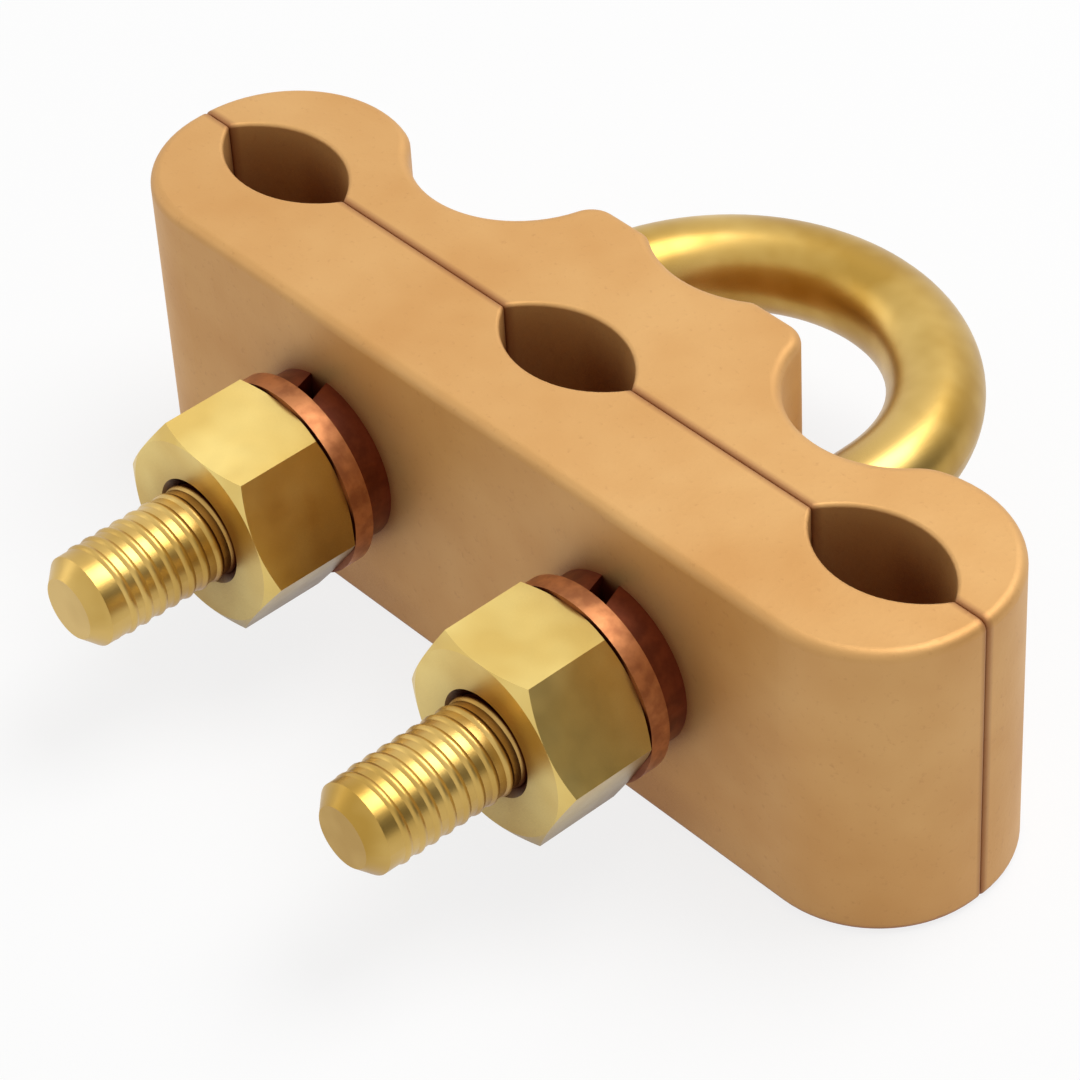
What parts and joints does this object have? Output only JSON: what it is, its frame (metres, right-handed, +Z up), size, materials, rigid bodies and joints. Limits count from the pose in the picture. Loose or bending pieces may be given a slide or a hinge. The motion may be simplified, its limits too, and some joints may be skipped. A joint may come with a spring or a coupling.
{
  "type": "earth rod clamp",
  "caption": "Split cast clamp with lens-shaped cable holes along its parting line, drawn onto an earth rod by a U-bolt with washers and hexagon nuts.",
  "frame": {"origin": "on the split plane, in the middle of the middle cable hole, at the body's bottom face", "axes": "+X along the body, -Y towards the nuts, +Y towards the U-bolt's bend, +Z up, parallel to the rod and the cable holes"},
  "size_m": [0.0786, 0.067, 0.025],
  "materials": {
    "cast_body": "satin as-cast gunmetal",
    "u_bolt_bar": "drawn bar, satin",
    "washer_bronze": "satin",
    "nut_brass": "machined satin"
  },
  "bodies": {
    "rear_half": {"rear_half": "cast_body"},
    "front_half": {"front_half": "cast_body"},
    "u_bolt": {"u_bolt": "u_bolt_bar"},
    "washers_left": {"spring_washer_left": "washer_bronze", "flat_washer_left": "washer_bronze"},
    "washers_right": {"spring_washer_right": "washer_bronze", "flat_washer_right": "washer_bronze"},
    "nut_left": {"nut_left": "nut_brass"},
    "nut_right": {"nut_right": "nut_brass"}
  },
  "joints": [
    {"name": "nut_left_turn", "type": "hinge", "parent": "washers_left", "child": "nut_left", "pos_m": [-0.015, -0.0137, 0.0125], "axis": [0, -1, 0], "range_deg": [0, 2900]},
    {"name": "nut_right_turn", "type": "hinge", "parent": "washers_right", "child": "nut_right", "pos_m": [0.015, -0.0137, 0.0125], "axis": [0, -1, 0], "range_deg": [0, 2900]},
    {"name": "washers_left_slide", "type": "slide", "parent": "u_bolt", "child": "washers_left", "axis": [0, -1, 0], "range_m": [0, 0.0101]},
    {"name": "washers_right_slide", "type": "slide", "parent": "u_bolt", "child": "washers_right", "axis": [0, -1, 0], "range_m": [0, 0.0101]},
    {"name": "front_half_slide", "type": "slide", "parent": "rear_half", "child": "front_half", "axis": [0, -1, 0], "range_m": [0, 0.01]},
    {"name": "u_bolt_slide", "type": "slide", "parent": "rear_half", "child": "u_bolt", "axis": [0, -1, 0], "range_m": [0, 0.005]}
  ],
  "couplings": [
    {"joint": "nut_left_turn", "follows": "front_half_slide", "rad_per_m": 5026.5},
    {"joint": "nut_right_turn", "follows": "front_half_slide", "rad_per_m": 5026.5},
    {"joint": "washers_left_slide", "follows": "front_half_slide", "ratio": 1},
    {"joint": "washers_right_slide", "follows": "front_half_slide", "ratio": 1}
  ]
}
